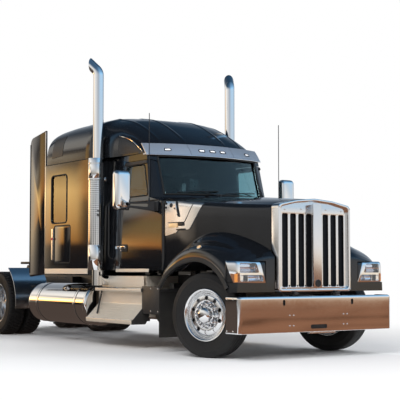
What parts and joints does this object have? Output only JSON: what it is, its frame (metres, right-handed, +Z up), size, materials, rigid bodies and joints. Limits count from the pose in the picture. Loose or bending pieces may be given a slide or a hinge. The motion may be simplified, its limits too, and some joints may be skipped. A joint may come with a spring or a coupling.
{
  "type": "semi truck tractor unit",
  "caption": "Long-nose sleeper tractor unit with a tilting bonnet, opening doors, linked steering, rolling wheels and a rocking trailer coupling.",
  "frame": {"origin": "on the ground, midway along the length and the width", "axes": "+X forward, +Y to the driver's left, +Z up"},
  "size_m": [8.9, 3.07, 4.165],
  "materials": {
    "body_black": "deep gloss black paint under clear coat",
    "frame_black": "satin black chassis paint",
    "chrome": "bright mirror plate",
    "bright_aluminium": "polished sheet",
    "wheel_aluminium": "machined and polished",
    "visor_steel": "brushed, cool grey",
    "engine_grey": "painted casting",
    "coupling_iron": "greased dark iron",
    "core_black": "matt black",
    "glass": "tinted, clear",
    "trim_plastic": "grained",
    "trim_fabric": "woven",
    "rubber": "matt",
    "tyre": "matt black rubber",
    "lamp_red": "clear red lens",
    "lamp_clear": "clear lens over a bright bowl"
  },
  "bodies": {
    "chassis": {"frame_rails": "frame_black", "bumper": "chrome", "front_axle": "frame_black", "front_springs": "frame_black", "engine_block": "engine_grey", "radiator": "core_black", "drive_line": "frame_black", "rear_suspension": "frame_black", "coupling_mount": "frame_black", "fuel_tanks": "bright_aluminium", "cab_steps": "bright_aluminium", "air_tanks": "frame_black", "exhaust_stacks": "chrome", "cab_shell": "body_black", "body_glass": "glass", "dashboard": "trim_plastic", "steering_wheel": "trim_plastic", "seats": "trim_fabric", "bunk": "trim_fabric", "sleeper_shell": "body_black", "roof_cap": "body_black", "sun_visor": "visor_steel", "side_extenders": "body_black", "quarter_fenders": "chrome", "mud_flaps": "rubber", "tail_lamps": "lamp_red"},
    "bonnet_unit": {"bonnet": "body_black", "wings": "body_black", "grille": "chrome", "headlamps": "lamp_clear", "arch_lips": "rubber", "cowl_panels": "chrome"},
    "door_unit_left": {"door_left": "body_black", "door_glass_left": "glass", "mirror_left": "chrome"},
    "locker_left": {"locker_door_left": "body_black"},
    "steer_knuckle_left": {"knuckle_left": "frame_black"},
    "door_unit_right": {"door_right": "body_black", "door_glass_right": "glass", "mirror_right": "chrome"},
    "locker_right": {"locker_door_right": "body_black"},
    "steer_knuckle_right": {"knuckle_right": "frame_black"},
    "track_rod": {"tie_rod": "frame_black"},
    "front_wheel_unit_left": {"front_tyre_left": "tyre", "front_wheel_left": "wheel_aluminium"},
    "front_wheel_unit_right": {"front_tyre_right": "tyre", "front_wheel_right": "wheel_aluminium"},
    "drive_unit_1_left": {"drive_tyres_1_left": "tyre", "drive_wheels_1_left": "wheel_aluminium"},
    "drive_unit_1_right": {"drive_tyres_1_right": "tyre", "drive_wheels_1_right": "wheel_aluminium"},
    "drive_unit_2_left": {"drive_tyres_2_left": "tyre", "drive_wheels_2_left": "wheel_aluminium"},
    "drive_unit_2_right": {"drive_tyres_2_right": "tyre", "drive_wheels_2_right": "wheel_aluminium"},
    "coupling": {"coupling_plate": "coupling_iron"}
  },
  "joints": [
    {"name": "bonnet_tilt", "type": "hinge", "parent": "chassis", "child": "bonnet_unit", "pos_m": [4.415, 0, 0.79], "axis": [0, 1, 0], "range_deg": [0, 70]},
    {"name": "door_left_swing", "type": "hinge", "parent": "chassis", "child": "door_unit_left", "pos_m": [2.455, 1.04, 1.8], "axis": [0, 0, -1], "range_deg": [0, 70]},
    {"name": "door_right_swing", "type": "hinge", "parent": "chassis", "child": "door_unit_right", "pos_m": [2.455, -1.04, 1.8], "axis": [0, 0, 1], "range_deg": [0, 70]},
    {"name": "locker_left_swing", "type": "hinge", "parent": "chassis", "child": "locker_left", "pos_m": [0.15, 1.2, 1.47], "axis": [0, 0, -1], "range_deg": [0, 90]},
    {"name": "locker_right_swing", "type": "hinge", "parent": "chassis", "child": "locker_right", "pos_m": [0.15, -1.2, 1.47], "axis": [0, 0, 1], "range_deg": [0, 90]},
    {"name": "steer_left", "type": "hinge", "parent": "chassis", "child": "steer_knuckle_left", "pos_m": [3.544, 0.87, 0.526], "axis": [0, 0, 1], "range_deg": [-53, 17]},
    {"name": "steer_right", "type": "hinge", "parent": "chassis", "child": "steer_knuckle_right", "pos_m": [3.544, -0.87, 0.526], "axis": [0, 0, 1], "range_deg": [-53, 17]},
    {"name": "track_rod_pivot", "type": "hinge", "parent": "steer_knuckle_left", "child": "track_rod", "pos_m": [3.33477, 0.80202, 0.41], "axis": [0, 0, 1], "range_deg": [-17, 53]},
    {"name": "front_spin_left", "type": "hinge", "parent": "steer_knuckle_left", "child": "front_wheel_unit_left", "pos_m": [3.49456, 1.02217, 0.526], "axis": [-0.309, 0.9511, 0], "continuous": true},
    {"name": "front_spin_right", "type": "hinge", "parent": "steer_knuckle_right", "child": "front_wheel_unit_right", "pos_m": [3.59344, -1.02217, 0.526], "axis": [-0.309, 0.9511, 0], "continuous": true},
    {"name": "drive_spin_1_left", "type": "hinge", "parent": "chassis", "child": "drive_unit_1_left", "pos_m": [-2.43, 0.913, 0.526], "axis": [0, 1, 0], "continuous": true},
    {"name": "drive_spin_1_right", "type": "hinge", "parent": "chassis", "child": "drive_unit_1_right", "pos_m": [-2.43, -0.913, 0.526], "axis": [0, 1, 0], "continuous": true},
    {"name": "drive_spin_2_left", "type": "hinge", "parent": "chassis", "child": "drive_unit_2_left", "pos_m": [-3.75, 0.913, 0.526], "axis": [0, 1, 0], "continuous": true},
    {"name": "drive_spin_2_right", "type": "hinge", "parent": "chassis", "child": "drive_unit_2_right", "pos_m": [-3.75, -0.913, 0.526], "axis": [0, 1, 0], "continuous": true},
    {"name": "coupling_tilt", "type": "hinge", "parent": "chassis", "child": "coupling", "pos_m": [-3.01, 0, 1.13], "axis": [0, 1, 0], "range_deg": [-10, 12]}
  ],
  "couplings": [
    {"joint": "steer_right", "follows": "steer_left", "ratio": 1},
    {"joint": "track_rod_pivot", "follows": "steer_left", "ratio": -1}
  ]
}
